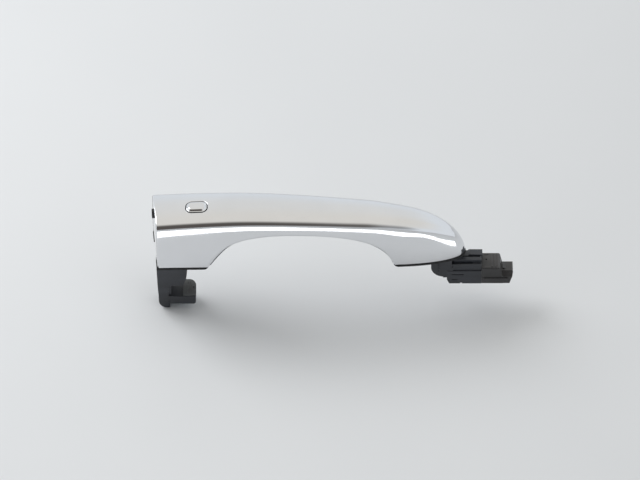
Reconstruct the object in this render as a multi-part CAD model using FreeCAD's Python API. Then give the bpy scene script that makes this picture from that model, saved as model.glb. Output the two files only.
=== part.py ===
"""Exterior pull handle of a car door, with a keyless-entry lock button, as a bench assembly.

A chrome-plated cover closes over a black carrier moulding. The carrier has a front arm that swings on two
trunnions in the door's bracket, and a rear leg whose window catches the latch lever. Between cover and
carrier sit the lock button with its switch, a circuit board, a wake-up antenna and a touch plate. Their leads
run down the front arm to the connector on its end.

Lengths are in millimetres. While modelling, X runs forward from the rear end of the grip, Z runs outward from
the door skin, and Y runs across the handle. export() moves everything so that the origin is the middle of the
front seat, on the door skin.
"""

import FreeCAD
import Part
import math
import os

V = FreeCAD.Vector

# ---- Driving dimensions --------------------------------------------------------------------------------
GRIP_LENGTH = 205.0  # rear end face to nose
SEAT_X = 168.0  # rear end to the origin, on the front seat
COVER_WALL = 2.4
FIT_GAP = 0.25  # cover to carrier
CARRIER_WALL = 1.8
CROWN = 2.6  # rise of the outer face between its two shoulders
SIDE_BULGE = 0.8
END_RAKE = math.radians(5.5)  # the rear end face is raked in plan

NOSE_REACH = 66.0  # the outer face rounds down over this length
BASE_NOSE_REACH = 54.0  # the base outline rounds in over this length
NOSE_POWER = 2.3  # of the superellipse that both follow
NOSE_TAPER = 1.6  # how much faster the shoulders close than the height falls

GASKET_THICKNESS = 1.4
GASKET_LIP = 0.3
COVER_EDGE_Z = 1.6
CARRIER_FLOOR = 2.0

# The form's sections: (x, size) along the grip.
SHOULDER_HALF_WIDTH = [
    (-6, 16.8),
    (50, 15.8),
    (100, 14.6),
    (140, 13.1),
    (158, 12.2),
    (174, 12.7),
    (206, 14.0),
]
SHOULDER_HEIGHT = [
    (-6, 37.1),
    (25, 39.4),
    (60, 40.7),
    (100, 39.3),
    (142, 36.4),
    (160, 35.2),
    (174, 35.5),
    (206, 37.0),
]
BASE_HALF_WIDTH = [(-6, 17.4), (80, 15.8), (160, 14.2), (206, 14.0)]

# The finger recess, from the rear foot over the grip to the front foot: (x, z) of the cover's lower edge.
RECESS = [
    (34.5, 0),
    (42, 12.5),
    (50, 21.3),
    (63, 26.9),
    (90, 29.3),
    (120, 26.8),
    (138, 22.0),
    (150, 14.6),
    (158.5, 0),
]
CARRIER_REVEAL = 1.4  # how far the carrier stands out of the cover's edge into the recess
# The top of the carrier's walls: (x, z).
WALL_TOP = [(0, 31.0), (60, 34.0), (100, 32.5), (150, 28.0), (178, 20.0), (206, -2.0)]

# Lock button, in the outer face.
BUTTON_X, BUTTON_Y = 27.9, -0.8
HOLE_HALF_X, HOLE_HALF_Y, HOLE_RADIUS = 7.3, 5.2, 4.3
BUTTON_GAP = 0.6
BUTTON_PROUD = 1.2
BUTTON_TRAVEL = 0.7
BOARD_TOP = 33.2
BOARD_THICKNESS = 1.0
SWITCH_HEIGHT = 3.0
SWITCH_HALF = 2.3
SWITCH_WELL = 1.8  # floor of the well that the plunger travels in, above the board
PLUNGER_HEIGHT = 1.0
BOOT_WALL = 0.6

# Front arm: pivot nose, neck, stepped arm and connector.
PIVOT_X, PIVOT_Z, PIVOT_RADIUS = 191.0, -8.0, 8.6
ARM_HALF_WIDTH = 7.0
ARM_END_X = 215.8
LUG_TOP = -2.3  # clear of the door skin
ARM_BOTTOM_Z = -22.9
CONNECTOR_END_X = 236.8

# Harness: four leads side by side.
LEAD_RADIUS = 0.6
LEAD_PITCH = 1.7
LEAD_COUNT = 4
HARNESS_ROUTE = [
    (57.5, 6.3, 34.5),
    (67, 6.3, 34.5),
    (77, 6.3, 35.4),
    (112, 6.3, 35.4),
    (126, 6.3, 33.6),
    (146, 6.0, 29.8),
    (158, 3.2, 25.5),
    (171, 0.8, 18.2),
    (183, 0, 7.0),
    (194, 0, -6.5),
    (203, 0, -13.8),
    (209, 0, -17.0),
    (213, 0, -17.0),
]

# Rear leg.
LEG_HALF_WIDTH = 8.5
LEVER_GAP_X, LEVER_GAP_TOP = 10.0, -24.2  # closed end and upper side of the gap for the latch lever
FOOT_X, FOOT_TOP = 26.4, -33.4  # hook foot below the gap
FOOT_NEAR_Y, FOOT_FAR_Y = 9.0, 6.5
SHOE_TOP = -32.2

BIG = 400.0


# ---- Small helpers -------------------------------------------------------------------------------------
def through(points, x):
    """Value at x of the smooth curve through points (a cubic with Catmull-Rom slopes)."""
    last = len(points) - 1
    i = 0
    while i < last - 1 and x > points[i + 1][0]:
        i += 1
    (x0, y0), (x1, y1) = points[i], points[i + 1]

    def slope(k):
        a, b = points[max(k - 1, 0)], points[min(k + 1, last)]
        return (b[1] - a[1]) / (b[0] - a[0])

    h = x1 - x0
    t = min(max((x - x0) / h, 0.0), 1.0)
    s0, s1 = slope(i) * h, slope(i + 1) * h
    return (
        (2 * t**3 - 3 * t**2 + 1) * y0
        + (t**3 - 2 * t**2 + t) * s0
        + (3 * t**2 - 2 * t**3) * y1
        + (t**3 - t**2) * s1
    )


def box(x0, x1, y0, y1, z0, z1):
    return Part.makeBox(x1 - x0, y1 - y0, z1 - z0, V(x0, y0, z0))


def rod(x, y, z0, z1, radius):
    """Upright cylinder."""
    return Part.makeCylinder(radius, z1 - z0, V(x, y, z0))


def cross_rod(x, z, y0, y1, radius):
    """Cylinder across the handle, along Y."""
    return Part.makeCylinder(radius, y1 - y0, V(x, y0, z), V(0, 1, 0))


def side_plate(points, y0, y1):
    """Solid from an outline in the XZ plane, between two Y planes."""
    wire = Part.makePolygon([V(x, y0, z) for x, z in points + points[:1]])
    return Part.Face(wire).extrude(V(0, y1 - y0, 0))


def fillet(shape, radius, wanted):
    """Rounds the edges that wanted(edge) picks."""
    return shape.makeFillet(radius, [e for e in shape.Edges if wanted(e)])


def runs_along(edge, axis):
    """Whether a straight edge lies along an axis."""
    if len(edge.Vertexes) != 2:
        return False
    d = edge.Vertexes[1].Point.sub(edge.Vertexes[0].Point)
    return d.Length > 0 and abs(abs(d.normalize().dot(axis)) - 1) < 1e-6


def pillow(x, y, half_x, half_y, radius, z0, z1):
    """Upright prism with a rounded-rectangle outline."""
    block = box(x - half_x, x + half_x, y - half_y, y + half_y, z0, z1)
    return fillet(block, radius, lambda e: runs_along(e, V(0, 0, 1)))


def spline_edge(points):
    """Smooth edge through (x, z) points, in the plane y = 0."""
    curve = Part.BSplineCurve()
    curve.interpolate([V(x, 0, z) for x, z in points])
    return curve.toShape()


def moved_along_normal(points, distance):
    """The same curve moved towards the outer face by distance."""
    curve = Part.BSplineCurve()
    curve.interpolate([V(x, 0, z) for x, z in points])
    out = []
    for x, z in points:
        tangent = V(*curve.tangent(curve.parameter(V(x, 0, z)))[0])
        out.append((x - tangent.z * distance, z + tangent.x * distance))
    return out


def below_curve(points, floor):
    """Solid under a curve in XZ, right across the handle, down to floor."""
    first, last = points[0], points[-1]
    edge = spline_edge(points)
    corners = [last, (last[0], floor), (first[0], floor), first]
    rest = Part.makePolygon([V(x, 0, z) for x, z in corners])
    face = Part.Face(Part.Wire([edge] + rest.Edges))
    face.translate(V(0, -BIG / 2, 0))
    return face.extrude(V(0, BIG, 0))


# ---- The handle's outer form ---------------------------------------------------------------------------
def nose_factor(x, reach, tip):
    """1 along the grip, falling to 0 at the tip as a quarter of a superellipse."""
    share = max(0.0, x - (tip - reach)) / reach
    return math.sqrt(max(0.0, 1.0 - share**NOSE_POWER))


def base_half(x, inset):
    """Half-width of the form where it meets the door skin."""
    factor = nose_factor(x, BASE_NOSE_REACH, GRIP_LENGTH - inset)
    return through(BASE_HALF_WIDTH, x) * factor - inset


def section_poles(x, inset):
    """Control points of one cross-section, from the near base edge over the outer face to the far one."""
    tip = GRIP_LENGTH - inset
    round_off = nose_factor(x, NOSE_REACH, tip)
    half = max(through(SHOULDER_HALF_WIDTH, x) * round_off**NOSE_TAPER - inset, 0.25)
    height = max(through(SHOULDER_HEIGHT, x) * round_off - inset, 2.0)
    base = max(base_half(x, inset), 0.5)
    crown = CROWN * round_off
    bulge = SIDE_BULGE * round_off
    lean = max(base - half, 0.0)
    k = min(1.0, half / 9.0)  # the shoulder's rounding tightens as the nose narrows
    near_side = [
        (base, 0.0),
        (base + bulge, 0.33 * height),
        (0.5 * base + 0.5 * half + bulge, 0.68 * height),
        (half + 0.35 * k + 0.23 * lean, height - 4.6 * k),
        (half - 0.05 * k + 0.03 * lean, height - 1.7 * k),
        (half - 1.0 * k, height - 0.15 * k),
        (half - 3.4 * k, height + 0.55 * crown * k),
        (0.55 * half, height + 0.86 * crown),
        (0.25 * half, height + crown),
    ]
    near = [V(x, -y, z) for y, z in near_side]
    far = [V(x, y, z) for y, z in reversed(near_side)]
    return near + [V(x, 0, height + crown)] + far


def section_wire(x, inset):
    poles = section_poles(x, inset)
    spans = len(poles) - 3
    curve = Part.BSplineCurve()
    curve.buildFromPolesMultsKnots(poles, [4] + [1] * (spans - 1) + [4], list(range(spans + 1)), False, 3)
    return Part.Wire([curve.toShape(), Part.makeLine(poles[-1], poles[0])])


def rear_cutter(rear):
    """Everything behind the raked rear end plane."""
    block = Part.makeBox(60, 120, 120, V(-60, -60, -30))
    block.rotate(V(0, 0, 0), V(0, 0, 1), math.degrees(END_RAKE))
    block.translate(V(rear, 0, 0))
    return block


def handle_form(inset, rear=0.0):
    """The full outer form, inset by a distance, cut off square to the raked rear end."""
    tip = GRIP_LENGTH - inset
    stations = [-5, 12, 30, 48, 66, 88, 110, 130, 145, 158, 170]
    stations += [tip - d for d in (27, 20, 14, 9, 5, 2.2, 0.5)]
    form = Part.makeLoft([section_wire(x, inset) for x in stations], True, False)
    return form.cut(rear_cutter(rear))


# ---- Cover and carrier ---------------------------------------------------------------------------------
SCREWS = [(69.0, 29.6), (140.0, 24.0)]  # x of each cover screw, and z where its pillar meets the cover's boss
SCREW_RADIUS, SCREW_HEAD_RADIUS, SCREW_HEAD = 1.45, 2.7, 1.9
SCREW_SEAT = 1.6  # plastic between a screw's head and the cover's boss
BOARD_SCREWS = (16.5, 57.5)
BOARD_SCREW_RADIUS = 0.95
RIBS = [(45.0, 26.0), (80.3, 30.2), (103.3, 29.9), (153.0, 15.4), (172.0, 9.0)]  # x and top of each rib
BUMPER_Y, BUMPER_Z0, BUMPER_Z1, BUMPER_HALF = 4.0, 28.3, 34.6, 2.0


def outer_cover():
    room = handle_form(COVER_WALL, COVER_WALL).fuse(box(3, GRIP_LENGTH - 3, -9, 9, -5, 2))
    shell = handle_form(0).cut(room)
    shell = shell.cut(below_curve(RECESS, -20))
    shell = shell.cut(box(-20, BIG, -60, 60, -20, COVER_EDGE_Z))
    shell = shell.cut(pillow(BUTTON_X, BUTTON_Y, HOLE_HALF_X, HOLE_HALF_Y, HOLE_RADIUS, 30, 60))
    shell = shell.cut(box(-6, 6, BUMPER_Y - 1.6, BUMPER_Y + 1.6, BUMPER_Z0 + 1.2, BUMPER_Z1 - 1.2))
    inside = handle_form(COVER_WALL - 0.4, COVER_WALL)
    for x, z in SCREWS:
        boss = rod(x, 0, z + 0.2, 60, 2.6).common(inside)
        shell = shell.fuse(boss).cut(rod(x, 0, 0, z + 9.4, SCREW_RADIUS + 0.05))
    return shell


def carrier_shell():
    inset = COVER_WALL + FIT_GAP
    body = handle_form(inset, inset)
    body = body.cut(below_curve(moved_along_normal(RECESS, -CARRIER_REVEAL), -20))
    body = body.cut(box(-20, BIG, -60, 60, -20, GASKET_THICKNESS))
    room = handle_form(inset + CARRIER_WALL, inset + CARRIER_WALL)
    room = room.cut(below_curve(moved_along_normal(RECESS, CARRIER_FLOOR - CARRIER_REVEAL), -20))
    room = room.cut(box(-20, BIG, -60, 60, -20, GASKET_THICKNESS + CARRIER_FLOOR))
    return body.common(below_curve(WALL_TOP, -20)).cut(room)


def rear_leg():
    """Column that ends in a hook: its foot reaches forward below the gap for the latch lever."""
    column = [(0.6, GASKET_THICKNESS), (0.7, -9), (1.1, -25), (1.6, -34), (1.6, -38), (19.6, -38)]
    column += [(19.6, FOOT_TOP), (LEVER_GAP_X, FOOT_TOP), (LEVER_GAP_X, LEVER_GAP_TOP), (17.8, LEVER_GAP_TOP)]
    column += [(20.3, -16.8), (21.1, -9.0), (21.1, GASKET_THICKNESS)]
    leg = side_plate(column, -LEG_HALF_WIDTH, LEG_HALF_WIDTH)
    leg = fillet(leg, 0.7, lambda e: runs_along(e, V(0, 0, 1)))
    toe = side_plate([(1.6, -34.5), (1.6, -46.4), (9.0, -46.4), (9.0, -34.5)], -6.8, 6.8)
    across = [e for e in toe.Edges if runs_along(e, V(0, 1, 0))]
    toe = toe.makeFillet(5.8, [e for e in across if e.CenterOfMass.x < 5 and e.CenterOfMass.z < -40])
    toe = fillet(toe, 0.6, lambda e: abs(e.CenterOfMass.y) > 6.7 and e.CenterOfMass.z < -38)
    relief = box(8.2, 30, -12, -LEG_HALF_WIDTH + 0.9, FOOT_TOP + 0.1, LEVER_GAP_TOP + 0.4)
    far_relief = relief.mirror(V(0, 0, 0), V(0, 1, 0))
    return leg.cut(Part.makeCompound([relief, far_relief])).fuse([hook_foot(), toe])


def foot_plan(x0, x1, inset, z0, z1):
    """Plate with the foot's plan: rounded where it ends, and notched at the side."""
    plate = box(x0, x1, -FOOT_NEAR_Y + inset, FOOT_FAR_Y - inset, z0, z1)
    corners = [e for e in plate.Edges if runs_along(e, V(0, 0, 1)) and e.CenterOfMass.x > x1 - 0.1]
    plate = plate.makeFillet(4.6 - inset, [e for e in corners if e.CenterOfMass.y > 0])
    near = [e for e in plate.Edges if runs_along(e, V(0, 0, 1)) and abs(e.CenterOfMass.x - x1) < 0.1]
    plate = plate.makeFillet(0.8, [e for e in near if e.CenterOfMass.y < -5])
    return plate.cut(rod(FOOT_X + 0.6, -4.6, z0 - 1, z1 + 1, 1.3))


def hook_foot():
    sole = foot_plan(9.0, FOOT_X, 0.0, -40.2, FOOT_TOP)
    profile = box(5.0, FOOT_X, -20, 20, -40.2, FOOT_TOP)
    across = [e for e in profile.Edges if runs_along(e, V(0, 1, 0))]
    ends = [e for e in across if e.CenterOfMass.x > 20 and e.CenterOfMass.z < -40]
    return sole.common(profile.makeFillet(1.8, ends))


def pivot_nose():
    """Rounded heel that turns in the door's bracket, with three pips on each flank."""
    half = ARM_HALF_WIDTH
    nose = cross_rod(PIVOT_X, PIVOT_Z, -half, half, PIVOT_RADIUS)
    nose = nose.common(box(150, PIVOT_X + 5, -half, half, -40, 0))
    nose = nose.fuse(box(PIVOT_X - PIVOT_RADIUS, 196, -half, half, PIVOT_Z, GASKET_THICKNESS))
    nose = nose.fuse(box(PIVOT_X, 197, -half, half, PIVOT_Z - PIVOT_RADIUS, PIVOT_Z))
    pips = [cross_rod(187.4, z, -half - 0.4, half + 0.4, 0.5) for z in (-6.3, -9.0, -11.7)]
    return nose.fuse(pips)


def arm_lower():
    """Deep lower body of the arm, with grooved flanks and a nub behind it."""
    half = ARM_HALF_WIDTH + 0.4
    top, bottom = -11.2, ARM_BOTTOM_Z
    outline = [(193.0, top), (193.0, -19.0), (194.7, bottom), (ARM_END_X, bottom), (ARM_END_X, top)]
    lower = fillet(side_plate(outline, -half, half), 0.5, lambda e: runs_along(e, V(1, 0, 0)))
    lower = lower.fuse(box(190.4, 194.0, -6.4, 6.4, -18.0, -14.0))
    for side in (-1, 1):
        face = side * half
        for z, x1 in ((-14.8, 204.0), (-19.6, 200.0)):
            lower = lower.cut(box(196.0, x1, face - 0.6, face + 0.6, z, z + 0.8))
        lower = lower.cut(box(202.0, 203.0, face - 1.2, face + 1.2, ARM_BOTTOM_Z - 1, ARM_BOTTOM_Z + 1.1))
    return lower


def arm_upper():
    """Stepped upper body of the arm: neck, slotted deck, raised step and the latch lug."""
    top = GASKET_THICKNESS
    outline = [(190, top), (198.5, top), (198.5, -2.2), (207.8, -4.6), (207.8, -6), (190, -6)]
    neck = side_plate(outline, -3.8, 3.8)
    deck = box(194, ARM_END_X, -6.5, 6.5, -12, -5.8)
    deck = fillet(deck, 0.5, lambda e: runs_along(e, V(1, 0, 0)) and e.CenterOfMass.z > -8)
    step = box(197.5, ARM_END_X, -4.4, 4.4, -6, -3.2)
    end = ARM_END_X + 0.6
    lug = side_plate([(204.0, -6.0), (204.8, -4.9), (207.8, LUG_TOP), (end, LUG_TOP), (end, -6.0)], -0.6, 4.7)
    lug = fillet(lug, 0.5, lambda e: runs_along(e, V(1, 0, 0)) and e.CenterOfMass.z > LUG_TOP - 1)
    body = neck.fuse([deck, step, lug])
    body = body.cut(box(203.0, ARM_END_X - 1.0, -1.8, -0.6, -4.4, 0))
    for side in (-1, 1):
        body = body.cut(box(202.5, 210.0, side * 5.0 - 0.6, side * 5.0 + 0.6, -7.4, -3.0))
        body = body.cut(box(197.0, 201.5, side * 5.0 - 0.3, side * 5.0 + 0.3, -6.6, -3.0))
    return body


def front_arm():
    """Pivot nose, neck through the door skin, stepped arm and the pocket that takes the connector."""
    pocket = box(ARM_END_X - 6, ARM_END_X + 1, -4.9, 4.9, -20.6, -13.2)
    return pivot_nose().fuse([arm_upper(), arm_lower()]).cut(pocket)


def harness_path():
    """The leads' centre line: straight runs joined by arcs as large as the runs allow."""
    points = [V(*p) for p in HARNESS_ROUTE]
    edges = []
    start = points[0]
    for before, corner, after in zip(points, points[1:], points[2:]):
        a, b = before.sub(corner), after.sub(corner)
        reach = 0.45 * min(a.Length, b.Length)
        a.normalize()
        b.normalize()
        turn = math.pi - a.getAngle(b)
        enter = corner.add(a.multiply(reach))
        leave = corner.add(b.multiply(reach))
        radius = reach / math.tan(turn / 2)
        inward = enter.add(leave).multiply(0.5).sub(corner)
        middle = corner.add(inward.normalize().multiply(radius / math.cos(turn / 2) - radius))
        edges.append(Part.makeLine(start, enter))
        edges.append(Part.Arc(enter, middle, leave).toShape())
        start = leave
    edges.append(Part.makeLine(start, points[-1]))
    return Part.Wire(edges)


def tube_along(wire, radius):
    start = wire.Edges[0]
    at = start.valueAt(start.FirstParameter)
    ahead = start.tangentAt(start.FirstParameter)
    ring = Part.Wire([Part.Circle(at, ahead, radius).toShape()])
    return wire.makePipeShell([ring], True, False, 2)


def harness_duct():
    """Flat channel for the leads, from the front foot down the arm."""
    half = (LEAD_COUNT - 1) * LEAD_PITCH / 2 + LEAD_RADIUS + 0.5
    points = [(177, 14.0), (184, 6.3), (194.4, -6.2), (203, -13.6), (209, -17.0), (216, -17.1)]
    upper = [(x + 1.3, z + 1.3) for x, z in points]
    lower = [(x - 1.3, z - 1.3) for x, z in points]
    return side_plate(upper + lower[::-1], -half, half)


def carrier():
    body = carrier_shell()
    for x in BOARD_SCREWS:
        body = body.fuse(rod(x, 0, 2, BOARD_TOP - BOARD_THICKNESS, 2.4).cut(below_curve(RECESS, -20)))
    grip_side = below_curve(moved_along_normal(RECESS, -CARRIER_REVEAL), -20)
    for x, z in SCREWS:
        body = body.fuse(rod(x, 0, z - 8, z, 4.4).cut(grip_side))
    for x, top in RIBS:
        inset = COVER_WALL + FIT_GAP + 0.5
        rib = box(x, x + 1.4, -30, 30, 2, top)
        rib = rib.common(handle_form(inset, inset)).cut(below_curve(moved_along_normal(RECESS, -0.4), -20))
        body = body.fuse(rib)
    body = body.fuse([rear_leg(), front_arm()])
    body = body.cut(harness_duct())
    for x in BOARD_SCREWS:
        body = body.cut(rod(x, 0, BOARD_TOP - 8, BOARD_TOP + 1, BOARD_SCREW_RADIUS + 0.05))
    for x, z in SCREWS:
        body = body.cut(rod(x, 0, z - 20, z - SCREW_SEAT, SCREW_HEAD_RADIUS + 0.4))
        body = body.cut(rod(x, 0, z - 3, z + 2, SCREW_RADIUS + 0.15))
    return body.removeSplitter()


def grip_pad():
    """Textured pad on the back of the grip, over the touch plate."""
    upper = moved_along_normal(RECESS, -CARRIER_REVEAL)
    lower = moved_along_normal(RECESS, -CARRIER_REVEAL - 1.6)
    slab = below_curve(upper, -20).cut(below_curve(lower, -20))
    outline = pillow(104.5, 0, 29.0, 9.4, 6.0, 0, 60)
    return slab.common(outline)


def foot_gasket(stations, corner_x, neck):
    """Soft pad between one foot and the door skin, with a hole for what passes through the skin."""
    lip = GASKET_LIP
    sides = []
    for side in (-1, 1):
        edge = Part.BSplineCurve()
        edge.interpolate([V(x, side * base_half(x, -lip), 0) for x in stations])
        sides.append(edge.toShape())
    ends = [Part.makeLine(sides[0].Vertexes[i].Point, sides[1].Vertexes[i].Point) for i in (0, 1)]
    pad = Part.Face(Part.Wire([sides[0], ends[1], sides[1], ends[0]])).extrude(V(0, 0, GASKET_THICKNESS))
    pad = fillet(pad, 3.2, lambda e: runs_along(e, V(0, 0, 1)) and abs(e.CenterOfMass.x - corner_x) < 0.1)
    return pad.cut(rear_cutter(-lip)).cut(neck)


def front_gasket():
    neck = box(182.1, 196.3, -7.3, 7.3, -5, 5).fuse(box(190, 199.5, -4.1, 4.1, -5, 5))
    return foot_gasket([157.5, 168, 178, 186, 192, 197, 201, 203.6, 204.9, 205.3], 157.5, neck)


def rear_gasket():
    return foot_gasket([-6, 8, 22, 35.3], 35.3, box(-20, 21.4, -8.8, 8.8, -5, 5))


# ---- Lock button ---------------------------------------------------------------------------------------
FACE_Z = 42.1  # height of the outer face at the button
PLUNGER_TOP = BOARD_TOP + SWITCH_HEIGHT + PLUNGER_HEIGHT
STEM_Z = PLUNGER_TOP + BOOT_WALL
FLANGE_TOP = 38.9


def lock_button():
    half_x, half_y = HOLE_HALF_X - BUTTON_GAP, HOLE_HALF_Y - BUTTON_GAP
    radius = HOLE_RADIUS - BUTTON_GAP
    cap = pillow(BUTTON_X, BUTTON_Y, half_x, half_y, radius, FLANGE_TOP - 0.9, 60)
    proud = handle_form(0)
    proud.translate(V(0, 0, BUTTON_PROUD))
    cap = cap.common(proud)
    hollow = pillow(BUTTON_X, BUTTON_Y, half_x - 1.2, half_y - 1.2, radius - 1.2, 30, FACE_Z - 1.2)
    flange_x, flange_y = HOLE_HALF_X + 0.3, HOLE_HALF_Y + 0.3
    flange = pillow(BUTTON_X, BUTTON_Y, flange_x, flange_y, HOLE_RADIUS, FLANGE_TOP - 0.9, FLANGE_TOP)
    stem = rod(BUTTON_X, BUTTON_Y, STEM_Z, FACE_Z - 1.0, 1.9)
    return cap.fuse(flange).cut(hollow).fuse(stem)


def button_seal():
    """Rubber ring in the gap between button and cover."""
    bottom, top = FLANGE_TOP + 0.9, FACE_Z - 0.55

    def plug(inset, z0, z1):
        half_x, half_y = HOLE_HALF_X - inset, HOLE_HALF_Y - inset
        return pillow(BUTTON_X, BUTTON_Y, half_x, half_y, HOLE_RADIUS - inset, z0, z1)

    return plug(0.03, bottom, top).cut(plug(BUTTON_GAP - 0.12, 0, 60))


def button_guide():
    outer = pillow(BUTTON_X, BUTTON_Y, 9.6, 7.5, 5.0, BOARD_TOP, FLANGE_TOP - 0.4)
    inner = pillow(BUTTON_X, BUTTON_Y, 8.0, 5.95, 4.6, 0, 60)
    ears = box(BUTTON_X - 3, BUTTON_X + 3, BUTTON_Y - 7.0, BUTTON_Y + 7.0, BOARD_TOP, BOARD_TOP + 1.0)
    return outer.fuse(ears).cut(inner)


def button_boot():
    """Silicone boot over the switch: foot ring, cone and membrane."""
    foot, waist, crown = 5.6, 5.0, 3.9
    base, top = BOARD_TOP, STEM_Z
    outline = [(foot, base), (foot, base + BOOT_WALL), (waist, base + BOOT_WALL), (crown, top), (0, top)]
    outline += [(0, top - BOOT_WALL), (crown - 0.5, top - BOOT_WALL), (waist - BOOT_WALL, base)]
    wire = Part.makePolygon([V(r, 0, z) for r, z in outline + outline[:1]])
    boot = Part.Face(wire).revolve(V(0, 0, 0), V(0, 0, 1), 360)
    boot.translate(V(BUTTON_X, BUTTON_Y, 0))
    return boot


def switch_body():
    half, x, y = SWITCH_HALF, BUTTON_X, BUTTON_Y
    body = box(x - half, x + half, y - half, y + half, BOARD_TOP, BOARD_TOP + SWITCH_HEIGHT)
    return body.cut(rod(x, y, BOARD_TOP + SWITCH_WELL, 60, 1.3))


def switch_plunger():
    bottom = BOARD_TOP + SWITCH_WELL + BUTTON_TRAVEL + 0.1
    return rod(BUTTON_X, BUTTON_Y, bottom, PLUNGER_TOP, 1.2)


# ---- Electronics ---------------------------------------------------------------------------------------
ANTENNA_Z = 32.4
TERMINAL_Z = -17.0


def circuit_board():
    board = box(12.5, 61.5, -8.8, 9.8, BOARD_TOP - BOARD_THICKNESS, BOARD_TOP)
    board = fillet(board, 1.5, lambda e: runs_along(e, V(0, 0, 1)))
    for x in BOARD_SCREWS:
        board = board.cut(rod(x, 0, 20, 50, BOARD_SCREW_RADIUS + 0.2))
    return board


def board_components():
    """Controller, lead header, driver and capacitors, as separate solids."""
    parts = []
    for x, y, length, width, height in (
        (45, -2.5, 7, 7, 1.2),
        (55.0, 6.3, 5.0, 6.4, 2.6),
        (40.2, 5.0, 3.2, 1.6, 1.1),
        (45.4, 5.0, 3.2, 1.6, 1.1),
        (51.5, -4.8, 2.0, 1.2, 0.8),
        (16.0, 5.4, 4.5, 3.0, 1.4),
    ):
        corner = V(x - length / 2, y - width / 2, BOARD_TOP)
        parts.append(Part.makeBox(length, width, height, corner))
    return Part.makeCompound(parts)


def board_screws():
    screws = []
    for x in BOARD_SCREWS:
        head = rod(x, 0, BOARD_TOP, BOARD_TOP + 1.2, 1.8).cut(rod(x, 0, BOARD_TOP + 0.5, 50, 0.7))
        screws.append(head.fuse(rod(x, 0, BOARD_TOP - 6.5, BOARD_TOP, BOARD_SCREW_RADIUS)))
    return Part.makeCompound(screws)


def cover_screws():
    screws = []
    for x, z in SCREWS:
        bottom = z - SCREW_SEAT - SCREW_HEAD
        head = rod(x, 0, bottom, z - SCREW_SEAT, SCREW_HEAD_RADIUS)
        head = fillet(head, 0.5, lambda e: e.CenterOfMass.z < bottom + 0.5)
        drive = [rod(x, 0, bottom - 1, bottom + 1.1, 0.9)]
        for i in range(6):
            a = math.radians(60 * i)
            lobe = rod(x + 0.95 * math.cos(a), 0.95 * math.sin(a), bottom - 1, bottom + 1.1, 0.4)
            drive.append(lobe)
        head = head.cut(Part.makeCompound(drive))
        screws.append(head.fuse(rod(x, 0, z - SCREW_SEAT - 0.1, z + 9.0, SCREW_RADIUS)))
    return Part.makeCompound(screws)


def sense_plate():
    return box(84, 98, -7, 7, 29.95, 30.2).fuse(box(98, 114, -5, 5, 29.95, 30.2))


def ferrite_core():
    return box(76.5, 108.5, -3.2, 3.2, ANTENNA_Z - 1.0, ANTENNA_Z + 1.0)


def coil_bobbin():
    tube = box(80, 105, -3.9, 3.9, ANTENNA_Z - 1.7, ANTENNA_Z + 1.7)
    ends = [box(x, x + 2, -5.8, 5.8, ANTENNA_Z - 2.15, ANTENNA_Z + 2.15) for x in (80, 103)]
    return tube.fuse(ends).cut(box(70, 140, -3.25, 3.25, ANTENNA_Z - 1.05, ANTENNA_Z + 1.05))


def antenna_coil():
    winding = box(82.5, 102.5, -5.2, 5.2, ANTENNA_Z - 2.05, ANTENNA_Z + 2.05)
    return winding.cut(box(70, 140, -3.95, 3.95, ANTENNA_Z - 1.75, ANTENNA_Z + 1.75))


def harness_wires():
    path = harness_path()
    leads = []
    for i in range(LEAD_COUNT):
        lead = tube_along(path, LEAD_RADIUS)
        lead.translate(V(0, (i - (LEAD_COUNT - 1) / 2) * LEAD_PITCH, 0))
        leads.append(lead)
    return Part.makeCompound(leads)


# ---- Connector and small parts -------------------------------------------------------------------------
def connector_sleeve():
    """Body of the connector, with its ribbed lid; the end face slopes forward."""
    start, bottom = ARM_END_X + 0.05, ARM_BOTTOM_Z
    outline = [(start, -9.2), (start, bottom), (230.2, bottom), (230.2, -17.5), (228.2, -9.2)]
    sleeve = side_plate(outline, -7.2, 7.2)
    sleeve = fillet(sleeve, 0.5, lambda e: runs_along(e, V(1, 0, 0)) and e.CenterOfMass.z < -20)
    lid = side_plate([(start, -10.4), (start, -8.3), (227.2, -8.3), (228.0, -9.2), (228.3, -10.4)], -7.0, 7.0)
    lid = fillet(lid, 0.4, lambda e: abs(e.CenterOfMass.y) > 6.9 and e.CenterOfMass.z > -8.4)
    ribs = [box(x, x + 1.0, -6.2, 6.2, -8.6, -7.8) for x in (222.4, 224.6)]
    hinge = box(218.0, 220.6, 5.2, 6.4, -8.6, -8.0)
    return sleeve.fuse([lid, hinge] + ribs).cut(rod(219.0, 0.9, -9.4, -8, 0.6))


def connector_mouth():
    """Mouth of the connector: two keyed corners on top, a latch ramp and a side rail."""
    bottom = ARM_BOTTOM_Z
    outline = [(228, -13.5), (236.2, -13.5), (CONNECTOR_END_X, -14.6), (234.5, bottom), (228, bottom)]
    mouth = side_plate(outline, -7.1, 7.1)
    for side in (-1, 1):
        y = side * 7.1
        corner = [(y, -16.5), (y, -10), (y - side * 6, -10), (y - side * 3.0, -13.5), (y, -16.5)]
        wire = Part.makePolygon([V(220, y, z) for y, z in corner])
        mouth = mouth.cut(Part.Face(wire).extrude(V(20, 0, 0)))
    mouth = fillet(mouth, 0.5, lambda e: runs_along(e, V(1, 0, 0)) and e.CenterOfMass.z < -20)
    catch = side_plate([(230.0, -13.8), (232.6, -13.8), (230.0, -12.4)], -2.6, 2.6)
    return mouth.fuse(catch)


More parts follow.
